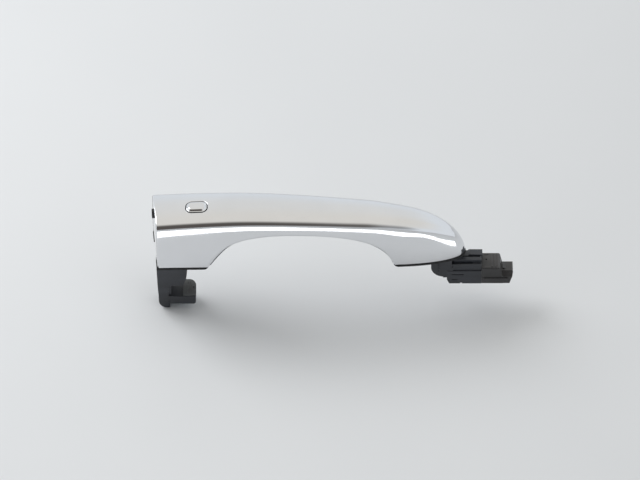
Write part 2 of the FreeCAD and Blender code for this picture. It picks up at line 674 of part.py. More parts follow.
def connector_housing():
    """Sleeve and mouth in one, with a spigot into the arm, the plug's socket and the terminal bores."""
    spigot = box(ARM_END_X - 5, ARM_END_X + 2, -4.8, 4.8, -20.5, -13.3)
    guide = box(217.4, 233.4, 6.9, 7.8, -19.4, -17.6)
    body = connector_sleeve().fuse([connector_mouth(), guide, guide.mirror(V(0, 0, 0), V(0, 1, 0)), spigot])
    socket = box(224.5, BIG, -4.9, 4.9, -21.2, -15.6)
    body = body.cut(fillet(socket, 0.8, lambda e: runs_along(e, V(1, 0, 0))))
    body = body.cut(box(217.5, 222.5, -4.6, 4.6, ARM_BOTTOM_Z - 1, ARM_BOTTOM_Z + 1.0))
    cavities = []
    for i in range(LEAD_COUNT):
        y = (i - (LEAD_COUNT - 1) / 2) * LEAD_PITCH
        cavities.append(box(200, 226, y - 0.66, y + 0.66, TERMINAL_Z - 0.66, TERMINAL_Z + 0.66))
    return body.cut(Part.makeCompound(cavities))


def connector_terminals():
    """Four blades: crimp barrel behind, tapered pin in the socket."""
    blades = []
    for i in range(LEAD_COUNT):
        y = (i - (LEAD_COUNT - 1) / 2) * LEAD_PITCH
        barrel = box(213.05, 223, y - 0.6, y + 0.6, TERMINAL_Z - 0.6, TERMINAL_Z + 0.6)
        pin = box(222, 232, y - 0.32, y + 0.32, TERMINAL_Z - 0.32, TERMINAL_Z + 0.32)
        tip = pin.makeChamfer(0.2, [e for e in pin.Edges if e.CenterOfMass.x > 231.9])
        blades.append(barrel.fuse(tip))
    return Part.makeCompound(blades)


def connector_seal():
    """Rubber ring round the foot of the socket."""
    ring = fillet(box(224.6, 226.4, -4.85, 4.85, -21.15, -15.65), 0.75, lambda e: runs_along(e, V(1, 0, 0)))
    return ring.cut(box(220, 230, -4.0, 4.0, -20.3, -16.3))


def terminal_lock():
    plate = box(217.6, 222.4, -4.5, 4.5, ARM_BOTTOM_Z, ARM_BOTTOM_Z + 0.9)
    return plate.cut(box(219.4, 220.6, -2.0, 2.0, ARM_BOTTOM_Z - 1, ARM_BOTTOM_Z + 0.4))


def catch_shoe():
    """Acetal pad on the hook's foot, where the latch lever bears: grooved, with one small pocket."""
    shoe = foot_plan(17.9, FOOT_X - 0.4, 0.4, FOOT_TOP + 0.05, SHOE_TOP)
    for x in (21.0, 22.6):
        shoe = shoe.cut(box(x, x + 0.5, -7.0, 3.6, SHOE_TOP - 0.4, SHOE_TOP + 1))
    return shoe.cut(box(24.3, 25.3, -2.6, -0.8, SHOE_TOP - 0.6, SHOE_TOP + 1))


def end_bumper():
    """Rubber stop on the rear end face, pushed through the cover's end wall."""
    head = box(-1.35, 0.0, BUMPER_Y - BUMPER_HALF, BUMPER_Y + BUMPER_HALF, BUMPER_Z0, BUMPER_Z1)
    head = fillet(head, 1.2, lambda e: runs_along(e, V(1, 0, 0)))
    stem = box(-0.5, 2.3, BUMPER_Y - 1.1, BUMPER_Y + 1.1, BUMPER_Z0 + 1.3, BUMPER_Z1 - 1.3)
    bumper = head.fuse(stem)
    bumper.rotate(V(0, BUMPER_Y, 0), V(0, 0, 1), math.degrees(END_RAKE))
    bumper.translate(V(-math.tan(END_RAKE) * BUMPER_Y, 0, 0))
    return bumper


# ---- Export --------------------------------------------------------------------------------------------
PARTS = {
    "outer_cover": outer_cover,
    "carrier": carrier,
    "grip_pad": grip_pad,
    "front_gasket": front_gasket,
    "rear_gasket": rear_gasket,
    "end_bumper": end_bumper,
    "lock_button": lock_button,
    "button_seal": button_seal,
    "button_guide": button_guide,
    "button_boot": button_boot,
    "switch_body": switch_body,
    "switch_plunger": switch_plunger,
    "circuit_board": circuit_board,
    "board_components": board_components,
    "board_screws": board_screws,
    "cover_screws": cover_screws,
    "sense_plate": sense_plate,
    "ferrite_core": ferrite_core,
    "coil_bobbin": coil_bobbin,
    "antenna_coil": antenna_coil,
    "harness_wires": harness_wires,
    "connector_housing": connector_housing,
    "connector_terminals": connector_terminals,
    "connector_seal": connector_seal,
    "terminal_lock": terminal_lock,
    "catch_shoe": catch_shoe,
}


def export():
    os.makedirs("parts", exist_ok=True)
    for name, make in PARTS.items():
        shape = make()
        shape.translate(V(-SEAT_X, 0, 0))
        shape.exportStep(f"parts/{name}.step")
        state = "valid" if shape.isValid() else "NOT VALID"
        print(name, state, len(shape.Solids), "solids", round(shape.Volume, 1), "mm3")


export()
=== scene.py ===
"""Looks of the car door handle: chrome cover and button, grained mouldings, rubber, studio and camera.

The outer form is the one that the CAD model is made from, evaluated here on a fine grid, so that the chrome
reflects cleanly. Form dimensions are in millimetres, with X running forward from the rear end of the grip;
place() turns them into the frame's metres. The near side is the one with negative Y.
"""

import math

import bmesh
import bpy
import numpy as np
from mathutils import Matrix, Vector

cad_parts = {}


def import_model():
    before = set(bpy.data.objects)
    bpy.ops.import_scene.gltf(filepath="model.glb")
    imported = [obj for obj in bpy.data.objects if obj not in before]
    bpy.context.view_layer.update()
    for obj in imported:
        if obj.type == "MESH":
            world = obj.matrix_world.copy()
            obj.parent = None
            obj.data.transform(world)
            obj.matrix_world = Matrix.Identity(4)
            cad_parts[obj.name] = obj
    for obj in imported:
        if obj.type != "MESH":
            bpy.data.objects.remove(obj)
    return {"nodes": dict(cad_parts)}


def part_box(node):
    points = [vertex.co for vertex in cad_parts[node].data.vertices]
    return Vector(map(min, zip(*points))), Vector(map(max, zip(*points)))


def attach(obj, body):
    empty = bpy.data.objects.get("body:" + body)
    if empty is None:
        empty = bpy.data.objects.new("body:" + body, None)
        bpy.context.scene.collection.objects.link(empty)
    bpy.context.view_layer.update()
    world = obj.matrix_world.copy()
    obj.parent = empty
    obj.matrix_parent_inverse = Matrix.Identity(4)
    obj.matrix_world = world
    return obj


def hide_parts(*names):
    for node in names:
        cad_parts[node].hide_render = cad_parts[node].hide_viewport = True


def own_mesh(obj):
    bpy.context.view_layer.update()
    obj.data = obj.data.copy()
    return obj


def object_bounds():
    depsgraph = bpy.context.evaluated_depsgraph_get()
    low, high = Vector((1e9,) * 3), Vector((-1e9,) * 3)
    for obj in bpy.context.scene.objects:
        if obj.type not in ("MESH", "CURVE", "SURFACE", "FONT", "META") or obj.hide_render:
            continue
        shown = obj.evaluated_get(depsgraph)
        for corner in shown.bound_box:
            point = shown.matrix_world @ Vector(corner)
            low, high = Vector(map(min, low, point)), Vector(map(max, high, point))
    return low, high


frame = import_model()
cad_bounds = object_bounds()

# ---- Form dimensions, as in the CAD model -----------------------------------------------------------------
GRIP_LENGTH = 205.0
SEAT_X = 168.0
COVER_WALL = 2.4
CROWN = 2.6
SIDE_BULGE = 0.8
RAKE = math.tan(math.radians(5.5))  # slant of the rear end across the handle
RAKE_FADE = 14.0  # length over which the slant dies out
NOSE_REACH, BASE_NOSE_REACH, NOSE_POWER, NOSE_TAPER = 66.0, 54.0, 2.3, 1.6
COVER_EDGE_Z = 1.6

SHOULDER_HALF_WIDTH = [
    (-6, 16.8),
    (50, 15.8),
    (100, 14.6),
    (140, 13.1),
    (158, 12.2),
    (174, 12.7),
    (206, 14.0),
]
SHOULDER_HEIGHT = [
    (-6, 37.1),
    (25, 39.4),
    (60, 40.7),
    (100, 39.3),
    (142, 36.4),
    (160, 35.2),
    (174, 35.5),
    (206, 37.0),
]
BASE_HALF_WIDTH = [(-6, 17.4), (80, 15.8), (160, 14.2), (206, 14.0)]
RECESS = [
    (34.5, 0),
    (42, 12.5),
    (50, 21.3),
    (63, 26.9),
    (90, 29.3),
    (120, 26.8),
    (138, 22.0),
    (150, 14.6),
    (158.5, 0),
]

BUTTON_X, BUTTON_Y = 27.9, -0.8
HOLE_HALF_X, HOLE_HALF_Y, HOLE_RADIUS = 7.3, 5.2, 4.3
BUTTON_GAP = 0.6
BUTTON_PROUD = 1.2
LEADS_Y, LEAD_PITCH = 6.3, 1.7  # middle of the four leads where they leave the board

# Finish of the visible edges.
END_RIM = 0.8  # rounding round the rear end face
RECESS_ROUND = 1.5  # the cover tucks in along the finger recess
FOOT_ROUND = 0.5
HOLE_ROUND = 0.35

# Fineness of the grids.
SPANS = 16  # of the section's spline
ROWS = 120  # steps round a section
EDGE_STEPS = 7  # points round a rounded edge
WINDOW_HALF_X, WINDOW_HALF_Y = 12.5, 9.0  # part of the skin that is made of rings round the button's hole
SPREAD = 5.0  # how far a curve along the grip is evened out
WELD = 2e-6  # metres: points closer than this are merged


# ---- Smooth curves ----------------------------------------------------------------------------------------
def hermite(points, x):
    """Cubic through points with Catmull-Rom slopes, at every x."""
    px = np.array([p[0] for p in points], float)
    py = np.array([p[1] for p in points], float)
    slope = np.empty_like(py)
    slope[1:-1] = (py[2:] - py[:-2]) / (px[2:] - px[:-2])
    slope[0] = (py[1] - py[0]) / (px[1] - px[0])
    slope[-1] = (py[-1] - py[-2]) / (px[-1] - px[-2])
    i = np.clip(np.searchsorted(px, x) - 1, 0, len(px) - 2)
    h = px[i + 1] - px[i]
    t = np.clip((x - px[i]) / h, 0, 1)
    a, b = 2 * t**3 - 3 * t**2 + 1, t**3 - 2 * t**2 + t
    c, d = 3 * t**2 - 2 * t**3, t**3 - t**2
    return a * py[i] + b * slope[i] * h + c * py[i + 1] + d * slope[i + 1] * h


def smooth_curve(points):
    """Function of x: the same curve with its curvature evened out, so that no reflection breaks on it."""
    step = 0.25
    x = np.arange(-30, 236, step)
    start, end = points[0][0], points[-1][0]
    first = (points[1][1] - points[0][1]) / (points[1][0] - points[0][0])
    last = (points[-1][1] - points[-2][1]) / (points[-1][0] - points[-2][0])
    y = hermite(points, np.clip(x, start, end))
    y += np.minimum(x - start, 0) * first + np.maximum(x - end, 0) * last
    reach = np.arange(-3 * SPREAD, 3 * SPREAD + step, step)
    weight = np.exp(-0.5 * (reach / SPREAD) ** 2)
    even = np.convolve(y, weight / weight.sum(), mode="same")
    return lambda at: np.interp(at, x, even)


def natural_spline(points, count=800):
    """Points along the natural cubic spline through points, by chord length."""
    p = np.array(points, float)
    t = np.concatenate([[0], np.cumsum(np.hypot(*np.diff(p, axis=0).T))])
    h = np.diff(t)
    n = len(p)
    a = np.zeros((n, n))
    b = np.zeros((n, 2))
    a[0, 0] = a[-1, -1] = 1
    for i in range(1, n - 1):
        a[i, i - 1 : i + 2] = h[i - 1], 2 * (h[i - 1] + h[i]), h[i]
        b[i] = 6 * ((p[i + 1] - p[i]) / h[i] - (p[i] - p[i - 1]) / h[i - 1])
    m = np.linalg.solve(a, b)
    s = np.linspace(0, t[-1], count)
    i = np.clip(np.searchsorted(t, s) - 1, 0, n - 2)
    u, v, w = (t[i + 1] - s)[:, None], (s - t[i])[:, None], h[i][:, None]
    bend = (m[i] * u**3 + m[i + 1] * v**3) / (6 * w)
    return bend + (p[i] / w - m[i] * w / 6) * u + (p[i + 1] / w - m[i + 1] * w / 6) * v


half_width = smooth_curve(SHOULDER_HALF_WIDTH)
shoulder_height = smooth_curve(SHOULDER_HEIGHT)
base_width = smooth_curve(BASE_HALF_WIDTH)
recess_line = natural_spline(RECESS)


def recess_z(x):
    return np.interp(x, recess_line[:, 0], recess_line[:, 1], left=0, right=0)


def edge_z(x):
    """Lower edge of the cover."""
    return np.maximum(recess_z(x), COVER_EDGE_Z)


def edge_slope(x):
    return (edge_z(x + 0.1) - edge_z(x - 0.1)) / 0.2


# ---- The outer form ---------------------------------------------------------------------------------------
def nose_factor(x, reach, tip):
    share = np.maximum(0.0, x - (tip - reach)) / reach
    return np.sqrt(np.maximum(0.0, 1.0 - share**NOSE_POWER))


def soft_min(a, b, width):
    """The lower of a and b, rounded over where they cross."""
    h = np.clip(0.5 + 0.5 * (b - a) / width, 0, 1)
    return b + (a - b) * h - width * h * (1 - h)


def section_poles(x, inset):
    """Control points (y, z) of the cross-section at every x: an array of shape (len(x), 19, 2)."""
    tip = GRIP_LENGTH - inset
    round_off = nose_factor(x, NOSE_REACH, tip)
    half = np.maximum(half_width(x) * round_off**NOSE_TAPER - inset, 0.25)
    height = np.maximum(shoulder_height(x) * round_off - inset, 2.0)
    base = np.maximum(base_width(x) * nose_factor(x, BASE_NOSE_REACH, tip) - inset, 0.5)
    crown = CROWN * round_off
    bulge = SIDE_BULGE * round_off
    lean = np.maximum(base - half, 0.0)
    k = np.maximum(soft_min(half / 9.0, 1.0, 0.3), 0.02)
    near = [
        (base, 0 * x),
        (base + bulge, 0.33 * height),
        (0.5 * base + 0.5 * half + bulge, 0.68 * height),
        (half + 0.35 * k + 0.23 * lean, height - 4.6 * k),
        (half - 0.05 * k + 0.03 * lean, height - 1.7 * k),
        (half - 1.0 * k, height - 0.15 * k),
        (half - 3.4 * k, height + 0.55 * crown * k),
        (0.55 * half, height + 0.86 * crown),
        (0.25 * half, height + crown),
    ]
    near = np.array([(-y, z) for y, z in near])
    middle = np.array([(0 * x, height + crown)])
    far = near[::-1] * np.array([-1, 1])[None, :, None]
    return np.moveaxis(np.concatenate([near, middle, far]), 2, 0)


KNOTS = np.concatenate([[0] * 3, np.arange(SPANS + 1), [SPANS] * 3]).astype(float)


def basis(s):
    """The cubic B-spline basis at every s: an array of shape (len(s), SPANS + 3)."""
    s = np.clip(np.ravel(s), 0, SPANS - 1e-9)
    b = ((KNOTS[:-1] <= s[:, None]) & (s[:, None] < KNOTS[1:])).astype(float)
    for degree in (1, 2, 3):
        left = KNOTS[degree:-1] - KNOTS[: -degree - 1]
        right = KNOTS[degree + 1 :] - KNOTS[1:-degree]
        up = (s[:, None] - KNOTS[: -degree - 1]) / np.where(left > 0, left, 1) * (left > 0)
        down = (KNOTS[degree + 1 :] - s[:, None]) / np.where(right > 0, right, 1) * (right > 0)
        b = up * b[:, :-1] + down * b[:, 1:]
    return b


def form_section(x, s, inset):
    """(y, z) of the form at stations x and section parameters s, which have the same shape."""
    x, s = np.broadcast_arrays(x, s)
    poles = section_poles(np.ravel(x), inset)
    points = np.einsum("nk,nkd->nd", basis(s), poles)
    return points[:, 0].reshape(x.shape), points[:, 1].reshape(x.shape)


def parameter_at(x, z, inset):
    """Section parameter on the near side where the form reaches height z, for each x."""
    s = np.linspace(0, SPANS / 2, 400)
    table = np.einsum("sk,nk->ns", basis(s), section_poles(x, inset)[:, :, 1])
    return np.array([np.interp(level, row, s) for level, row in zip(z, table)])


def top_z(x, y, inset=0.0):
    """Height of the top face at points (x, y), away from the sides."""
    s = np.linspace(SPANS / 4, SPANS * 3 / 4, 400)
    shape = np.shape(x)
    x, y = np.ravel(x), np.ravel(y)
    table = np.einsum("sk,nkd->nsd", basis(s), section_poles(x, inset))
    return np.array([np.interp(level, row[:, 0], row[:, 1]) for level, row in zip(y, table)]).reshape(shape)


def section_normal(x, s, inset):
    """Outward unit normal in the section plane, as (ny, nz)."""
    ya, za = form_section(x, np.clip(s - 0.02, 0, SPANS), inset)
    yb, zb = form_section(x, np.clip(s + 0.02, 0, SPANS), inset)
    dy, dz = yb - ya, zb - za
    length = np.maximum(np.hypot(dy, dz), 1e-9)
    return -dz / length, dy / length


# ---- Mesh helpers -----------------------------------------------------------------------------------------
def place(points):
    """Form millimetres to the frame's metres."""
    return (np.asarray(points, float) - [SEAT_X, 0, 0]) / 1000


class Patchwork:
    """Collects patches of quads whose shared borders are welded at the end."""

    def __init__(self):
        self.points = []
        self.faces = []
        self.count = 0

    def grid(self, points, skip=None):
        """Adds a grid of shape (columns, rows, 3), without the cells where skip is true."""
        columns, rows = points.shape[:2]
        index = self.count + np.arange(columns * rows).reshape(columns, rows)
        a, b, c, d = index[:-1, :-1], index[1:, :-1], index[1:, 1:], index[:-1, 1:]
        quads = np.stack([a, b, c, d], axis=-1)
        keep = np.ones(quads.shape[:2], bool) if skip is None else ~skip
        self.faces.extend(quads[keep].tolist())
        self.points.append(points.reshape(-1, 3))
        self.count += columns * rows

    def build(self, name):
        mesh = bpy.data.meshes.new(name)
        mesh.from_pydata(place(np.concatenate(self.points)).tolist(), [], self.faces)
        work = bmesh.new()
        work.from_mesh(mesh)
        bmesh.ops.remove_doubles(work, verts=work.verts, dist=WELD)
        bmesh.ops.dissolve_degenerate(work, edges=work.edges, dist=WELD / 4)
        bmesh.ops.recalc_face_normals(work, faces=work.faces)
        loose = [v for v in work.verts if not v.link_faces]
        bmesh.ops.delete(work, geom=loose, context="VERTS")
        work.to_mesh(mesh)
        work.free()
        mesh.shade_smooth()
        piece = bpy.data.objects.new(name, mesh)
        bpy.context.scene.collection.objects.link(piece)
        return piece


def fan(points, to):
    """Grid that joins each of a row of points to one point."""
    return np.stack([points, np.tile(to, (len(points), 1))])


def rounded_outline(angles, half_x, half_y, radius, offset=0.0):
    """Points of a rounded rectangle, grown by offset, in the directions given by angles."""
    direction = np.stack([np.cos(angles) * half_x, np.sin(angles) * half_y], axis=-1)
    low, high = np.zeros(len(angles)), np.full(len(angles), 4.0)
    for _ in range(50):
        middle = (low + high) / 2
        q = np.abs(direction * middle[:, None]) - [half_x - radius, half_y - radius]
        outside = np.hypot(np.maximum(q[:, 0], 0), np.maximum(q[:, 1], 0))
        distance = outside + np.minimum(np.maximum(q[:, 0], q[:, 1]), 0) - radius - offset
        low = np.where(distance < 0, middle, low)
        high = np.where(distance < 0, high, middle)
    return direction * low[:, None]


# ---- Chrome cover -----------------------------------------------------------------------------------------
def stations():
    """Distances of the outer skin's columns from the rear end, closer together where the form turns fast."""
    foot = np.concatenate([np.linspace(END_RIM, 4, 6), np.linspace(5, 33, 36)])
    rise = np.linspace(33.4, 52, 50)
    grip = np.linspace(53, GRIP_LENGTH - NOSE_REACH, 86)
    nose = GRIP_LENGTH - NOSE_REACH * np.linspace(1, 0, 121)[1:-1] ** 1.9
    return np.concatenate([foot, rise, grip, nose])


def raked(x, y):
    """Shifts stations near the rear so that the first lies in the raked end plane."""
    fade = np.clip(1 - (x - END_RIM) / RAKE_FADE, 0, 1)
    return x - RAKE * y * fade * fade * (3 - 2 * fade)


def skin_columns(x, inset, lift):
    """Grid of one skin, from lift above the near edge over to the far one, and its section parameters."""
    start = parameter_at(x, edge_z(x) + lift, inset)
    s = start[:, None] + (SPANS - 2 * start)[:, None] * np.linspace(0, 1, ROWS + 1)[None]
    y, z = form_section(x[:, None], s, inset)
    xx = raked(x[:, None] + 0 * y, y)
    y, z = form_section(xx, s, inset)
    return np.stack([xx, y, z], axis=-1), s


def edge_lift(x):
    """Radius of the rounding at the cover's lower edge, and its height where the edge slopes."""
    past_ends = np.minimum(x - RECESS[0][0], RECESS[-1][0] - x)
    inside = np.clip((past_ends - 1.0) / 7.0, 0, 1)
    radius = FOOT_ROUND + (RECESS_ROUND - FOOT_ROUND) * inside**0.5
    return radius, radius * np.minimum(np.hypot(1, edge_slope(x)), 2.0)


def edge_rows(x, inner, side):
    """Rows from the outer wall round the edge and across the lip, for one side (-1 near, 1 far)."""
    radius, lift = edge_lift(x)
    rows = []
    for turn in np.linspace(0, math.pi / 2, EDGE_STEPS):
        level = edge_z(x) + lift * (1 - math.sin(turn))
        s = parameter_at(x, level, 0.0)
        y, z = form_section(x, s, 0.0)
        y = -y - radius * (1 - math.cos(turn))
        xx = raked(x, side * y)
        rows.append(np.stack([xx, side * y, z], axis=-1))
    rows.append((rows[-1] + inner) / 2)
    rows.append(inner)
    return np.stack(rows, axis=1)


def end_columns(rim, plane_x, steps):
    """Columns that fill a flat raked end wall, from its rim in to the middle of its lower edge."""
    share = np.linspace(1, 0, steps)[:, None]
    y = rim[None, :, 1] * share
    z = COVER_EDGE_Z + (rim[None, :, 2] - COVER_EDGE_Z) * share
    return np.stack([plane_x - RAKE * y, y, z], axis=-1)


def rim_columns(first, s):
    """Columns that round the outer skin into the end plane."""
    x = np.full(s.shape, END_RIM)
    ny, nz = section_normal(x, s, 0.0)
    columns = []
    for turn in np.linspace(0, math.pi / 2, EDGE_STEPS):
        inward = END_RIM * (1 - math.cos(turn))
        forward = END_RIM * math.sin(turn)
        y = first[:, 1] - ny * inward
        z = np.maximum(first[:, 2] - nz * inward, COVER_EDGE_Z)
        columns.append(np.stack([first[:, 0] - forward, y, z], axis=-1))
    return np.stack(columns)


def hole_patch(border, inset, steps):
    """Rings from a border of grid points in to the mouth of the button's hole, and their directions."""
    centre = np.array([BUTTON_X, BUTTON_Y])
    away = (border[:, :2] - centre) / [HOLE_HALF_X, HOLE_HALF_Y]
    angles = np.arctan2(away[:, 1], away[:, 0])
    rings = []
    edge = rounded_outline(angles, HOLE_HALF_X, HOLE_HALF_Y, HOLE_RADIUS, HOLE_ROUND) + centre
    for share in np.linspace(1, 0, steps) ** 1.5:
        xy = edge + (border[:, :2] - edge) * share
        z = top_z(xy[:, 0], xy[:, 1], inset)
        rings.append(np.column_stack([xy, z]))
    rings[0] = border
    return np.stack(rings), angles


def hole_wall(angles):
    """Rings that round the hole's mouth, from the face down to its straight wall."""
    centre = np.array([BUTTON_X, BUTTON_Y])
    rings = []
    for turn in np.linspace(0, math.pi / 2, 6):
        offset = HOLE_ROUND * (1 - math.sin(turn))
        xy = rounded_outline(angles, HOLE_HALF_X, HOLE_HALF_Y, HOLE_RADIUS, offset) + centre
        z = top_z(xy[:, 0], xy[:, 1]) - HOLE_ROUND * (1 - math.cos(turn))
        rings.append(np.column_stack([xy, z]))
    return np.stack(rings)


def window_of(x, skin):
    """Cells of a skin's grid that the hole's patch replaces, and the loop of grid points round them."""
    columns = np.nonzero(np.abs(x - BUTTON_X) < WINDOW_HALF_X)[0]
    middle = skin[(columns[0] + columns[-1]) // 2]
    rows = np.nonzero(np.abs(middle[:, 1] - BUTTON_Y) < WINDOW_HALF_Y)[0]
    c0, c1, r0, r1 = columns[0], columns[-1], rows[0], rows[-1]
    skip = np.zeros((skin.shape[0] - 1, skin.shape[1] - 1), bool)
    skip[c0:c1, r0:r1] = True
    loop = [(c, r0) for c in range(c0, c1)] + [(c1, r) for r in range(r0, r1)]
    loop += [(c, r1) for c in range(c1, c0, -1)] + [(c0, r) for r in range(r1, r0, -1)]
    loop.append(loop[0])
    return skip, loop


def add_hole(shell, x, outer, inner):
    """Both skins, with the button's hole through them."""
    skip, loop = window_of(x, outer)
    patch, angles = hole_patch(np.array([outer[c, r] for c, r in loop]), 0.0, 14)
    patch_in, _ = hole_patch(np.array([inner[c, r] for c, r in loop]), COVER_WALL, 8)
    wall = hole_wall(angles)
    rim = rounded_outline(angles, HOLE_HALF_X, HOLE_HALF_Y, HOLE_RADIUS) + [BUTTON_X, BUTTON_Y]
    rim = np.column_stack([rim, top_z(rim[:, 0], rim[:, 1], COVER_WALL)])
    patch_in[-1] = rim
    shell.grid(outer, skip=skip)
    shell.grid(inner, skip=skip)
    for points in (patch, patch_in, wall, np.stack([wall[-1], rim])):
        shell.grid(points)


def add_lower_edge(shell, x, row, outer, inner, rims, ends, ends_in):
    """Rounded edge, lip and end closures along one side's lower edge."""
    side = -1 if row == 0 else 1
    tip = np.array([GRIP_LENGTH, 0, COVER_EDGE_Z])
    tip_in = np.array([GRIP_LENGTH - COVER_WALL, 0, COVER_EDGE_Z])
    lip = edge_rows(x, inner[:, row], side)
    lip[:, 0] = outer[:, row]
    end = lip[-1].copy()
    end[:-2] = tip
    end[-2] = (tip + tip_in) / 2
    end[-1] = tip_in
    shell.grid(np.concatenate([lip, end[None]]))
    share = np.linspace(1, 0, len(ends))[:, None]
    back = ends_in[0, row] * share + ends_in[-1, row] * (1 - share)
    shell.grid(np.stack([ends[:, row], back], axis=1))
    corner = lip[0, -1]
    shell.grid(fan(rims[:, row], corner))
    shell.grid(fan(lip[0], corner))


def chrome_cover():
    """Both skins of the shell, its hole, its raked rear wall and its lower edges."""
    x = stations()
    shell = Patchwork()
    _, lift = edge_lift(x)
    outer, s = skin_columns(x, 0.0, lift)
    scale = (GRIP_LENGTH - 2 * COVER_WALL) / (GRIP_LENGTH - END_RIM)
    x_in = COVER_WALL + (x - END_RIM) * scale
    inner, _ = skin_columns(x_in, COVER_WALL, 0 * x)
    add_hole(shell, x, outer, inner)

    rims = rim_columns(outer[0], s[0])
    ends = end_columns(rims[-1], 0.0, 16)
    ends_in = end_columns(inner[0], COVER_WALL, 8)
    for points in (rims, ends, ends_in):
        shell.grid(points)
    shell.grid(fan(outer[-1], (GRIP_LENGTH, 0, COVER_EDGE_Z)))
    shell.grid(fan(inner[-1], (GRIP_LENGTH - COVER_WALL, 0, COVER_EDGE_Z)))
    for row in (0, ROWS):
        add_lower_edge(shell, x, row, outer, inner, rims, ends, ends_in)
    return shell.build("chrome_cover")


# ---- Button -----------------------------------------------------------------------------------------------
RING = np.linspace(-math.pi, math.pi, 129)  # directions of one ring's points


def button_ring(inset, drop, lower=None):
    """One ring of the button's outline: inset from the hole, at a drop below the face or a fixed height."""
    xy = rounded_outline(RING, HOLE_HALF_X, HOLE_HALF_Y, HOLE_RADIUS, -inset) + [BUTTON_X, BUTTON_Y]
    z = top_z(xy[:, 0], xy[:, 1]) - drop if lower is None else np.full(len(xy), lower)
    return np.column_stack([xy, z])


# Section of the cap's edge: distance in from its wall and height over the cover.
CAP_PROFILE = [
    (0, -0.1),
    (0.04, 0.06),
    (0.15, 0.13),
    (0.35, 0.16),
    (0.52, 0.22),
    (0.66, 0.34),
    (1.4, 1.08),
    (1.6, 1.18),
    (1.9, BUTTON_PROUD),
    (2.6, BUTTON_PROUD),
]
CAP_BOTTOM = 38.9
RING_BOTTOM, RING_SINK, RING_DOME = 39.9, 0.75, 0.14  # rubber ring: underside, depth below the face, crown


def button_cap():
    """Chrome cap: a raised pad with soft flanks on a slim ledge."""
    cap = Patchwork()
    rings = [button_ring(BUTTON_GAP, 0, lower=CAP_BOTTOM)]
    for inset, height in natural_spline(CAP_PROFILE, 40):
        rings.append(button_ring(BUTTON_GAP + max(inset, 0), -min(height, BUTTON_PROUD)))
    edge = rings[-1]
    middle = np.array([BUTTON_X, BUTTON_Y])
    for share in np.linspace(1, 0, 14)[1:]:
        xy = middle + (edge[:, :2] - middle) * share
        z = top_z(xy[:, 0], xy[:, 1]) + BUTTON_PROUD
        rings.append(np.column_stack([xy, z]))
    cap.grid(np.stack(rings))
    cap.grid(fan(rings[0], (BUTTON_X, BUTTON_Y, CAP_BOTTOM)))
    return cap.build("button_cap")


def button_ring_seal():
    """Rubber ring in the gap, domed across."""
    seal = Patchwork()
    outer, inner = 0.04, BUTTON_GAP - 0.06
    rings = [button_ring(outer, 0, lower=RING_BOTTOM)]
    for share in np.linspace(0, 1, 7):
        rise = RING_DOME * math.sin(math.pi * share)
        rings.append(button_ring(outer + (inner - outer) * share, RING_SINK - rise))
    rings.append(button_ring(inner, 0, lower=RING_BOTTOM))
    rings.append(rings[0])
    seal.grid(np.stack(rings))
    return seal.build("button_ring_seal")


def button_skirt():
    """Silicone boot under the cap, with two soft folds."""
    low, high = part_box("button_boot")
    centre = (low + high) / 2
    height = (high.z - low.z) * 1000
    outside = [(5.55, 0.0), (5.55, 0.5), (5.2, 0.62), (4.9, 0.9), (4.95, 1.5), (4.6, 2.0), (4.25, 2.2)]
    outside += [(4.3, 2.9), (4.05, 3.5), (3.85, height - 0.45), (3.6, height - 0.12)]
    top = [(3.2, height), (0.0, height), (0.0, height - 0.55), (3.1, height - 0.6)]
    inside = [(3.6, 2.9), (4.2, 1.4), (4.4, 0.0), (5.55, 0.0)]
    boot = Patchwork()
    rings = []
    for radius, z in outside + top + inside:
        x = centre.x * 1000 + SEAT_X + radius * np.cos(RING)
        y = centre.y * 1000 + radius * np.sin(RING)
        rings.append(np.column_stack([x, y, np.full(len(RING), low.z * 1000 + z)]))
    boot.grid(np.stack(rings))
    return boot.build("button_skirt")


# ---- Grip pad ---------------------------------------------------------------------------------------------
PAD_X, PAD_HALF_X, PAD_HALF_Y, PAD_RADIUS = 104.5, 29.0, 9.4, 6.0
PAD_TOP, PAD_THICKNESS = 1.45, 1.55  # depth of its upper face under the recess line, and thickness
PAD_PITCH, PAD_RIB, PAD_BORDER, PAD_ROUND = 3.2, 0.22, 1.6, 0.9  # cross ribs, plain border, rounded edge


def grip_pad():
    """Pad on the back of the grip, ribbed across, with a plain border."""
    x = PAD_X + PAD_HALF_X * np.sin(np.linspace(-math.pi / 2, math.pi / 2, 221))
    past = np.maximum(np.abs(x - PAD_X) - (PAD_HALF_X - PAD_RADIUS), 0)
    half = PAD_HALF_Y - PAD_RADIUS + np.sqrt(np.maximum(PAD_RADIUS**2 - past**2, 0))
    across = np.sin(np.linspace(-math.pi / 2, math.pi / 2, 41))
    y = half[:, None] * across[None]
    xx = x[:, None] + 0 * y
    slope = (recess_z(x + 0.2) - recess_z(x - 0.2)) / 0.4
    stretch = np.hypot(1, slope)[:, None]
    inward = np.minimum(half[:, None] - np.abs(y), (PAD_HALF_X - np.abs(xx - PAD_X)))
    rounding = np.sqrt(1 - (1 - np.clip(inward / PAD_ROUND, 0, 1)) ** 2)
    field = np.clip((inward - PAD_BORDER) / (PAD_BORDER / 2), 0, 1)
    rib = 0.5 + 0.5 * np.cos(2 * math.pi * (xx - PAD_X) / PAD_PITCH)
    relief = PAD_RIB * field * (1 - rib**2)
    thickness = (PAD_THICKNESS - relief) * rounding
    top = recess_z(xx) - PAD_TOP * stretch
    pad = Patchwork()
    pad.grid(np.stack([xx, y, top], axis=-1))
    pad.grid(np.stack([xx, y, top - thickness * stretch], axis=-1))
    return pad.build("ribbed_grip_pad")


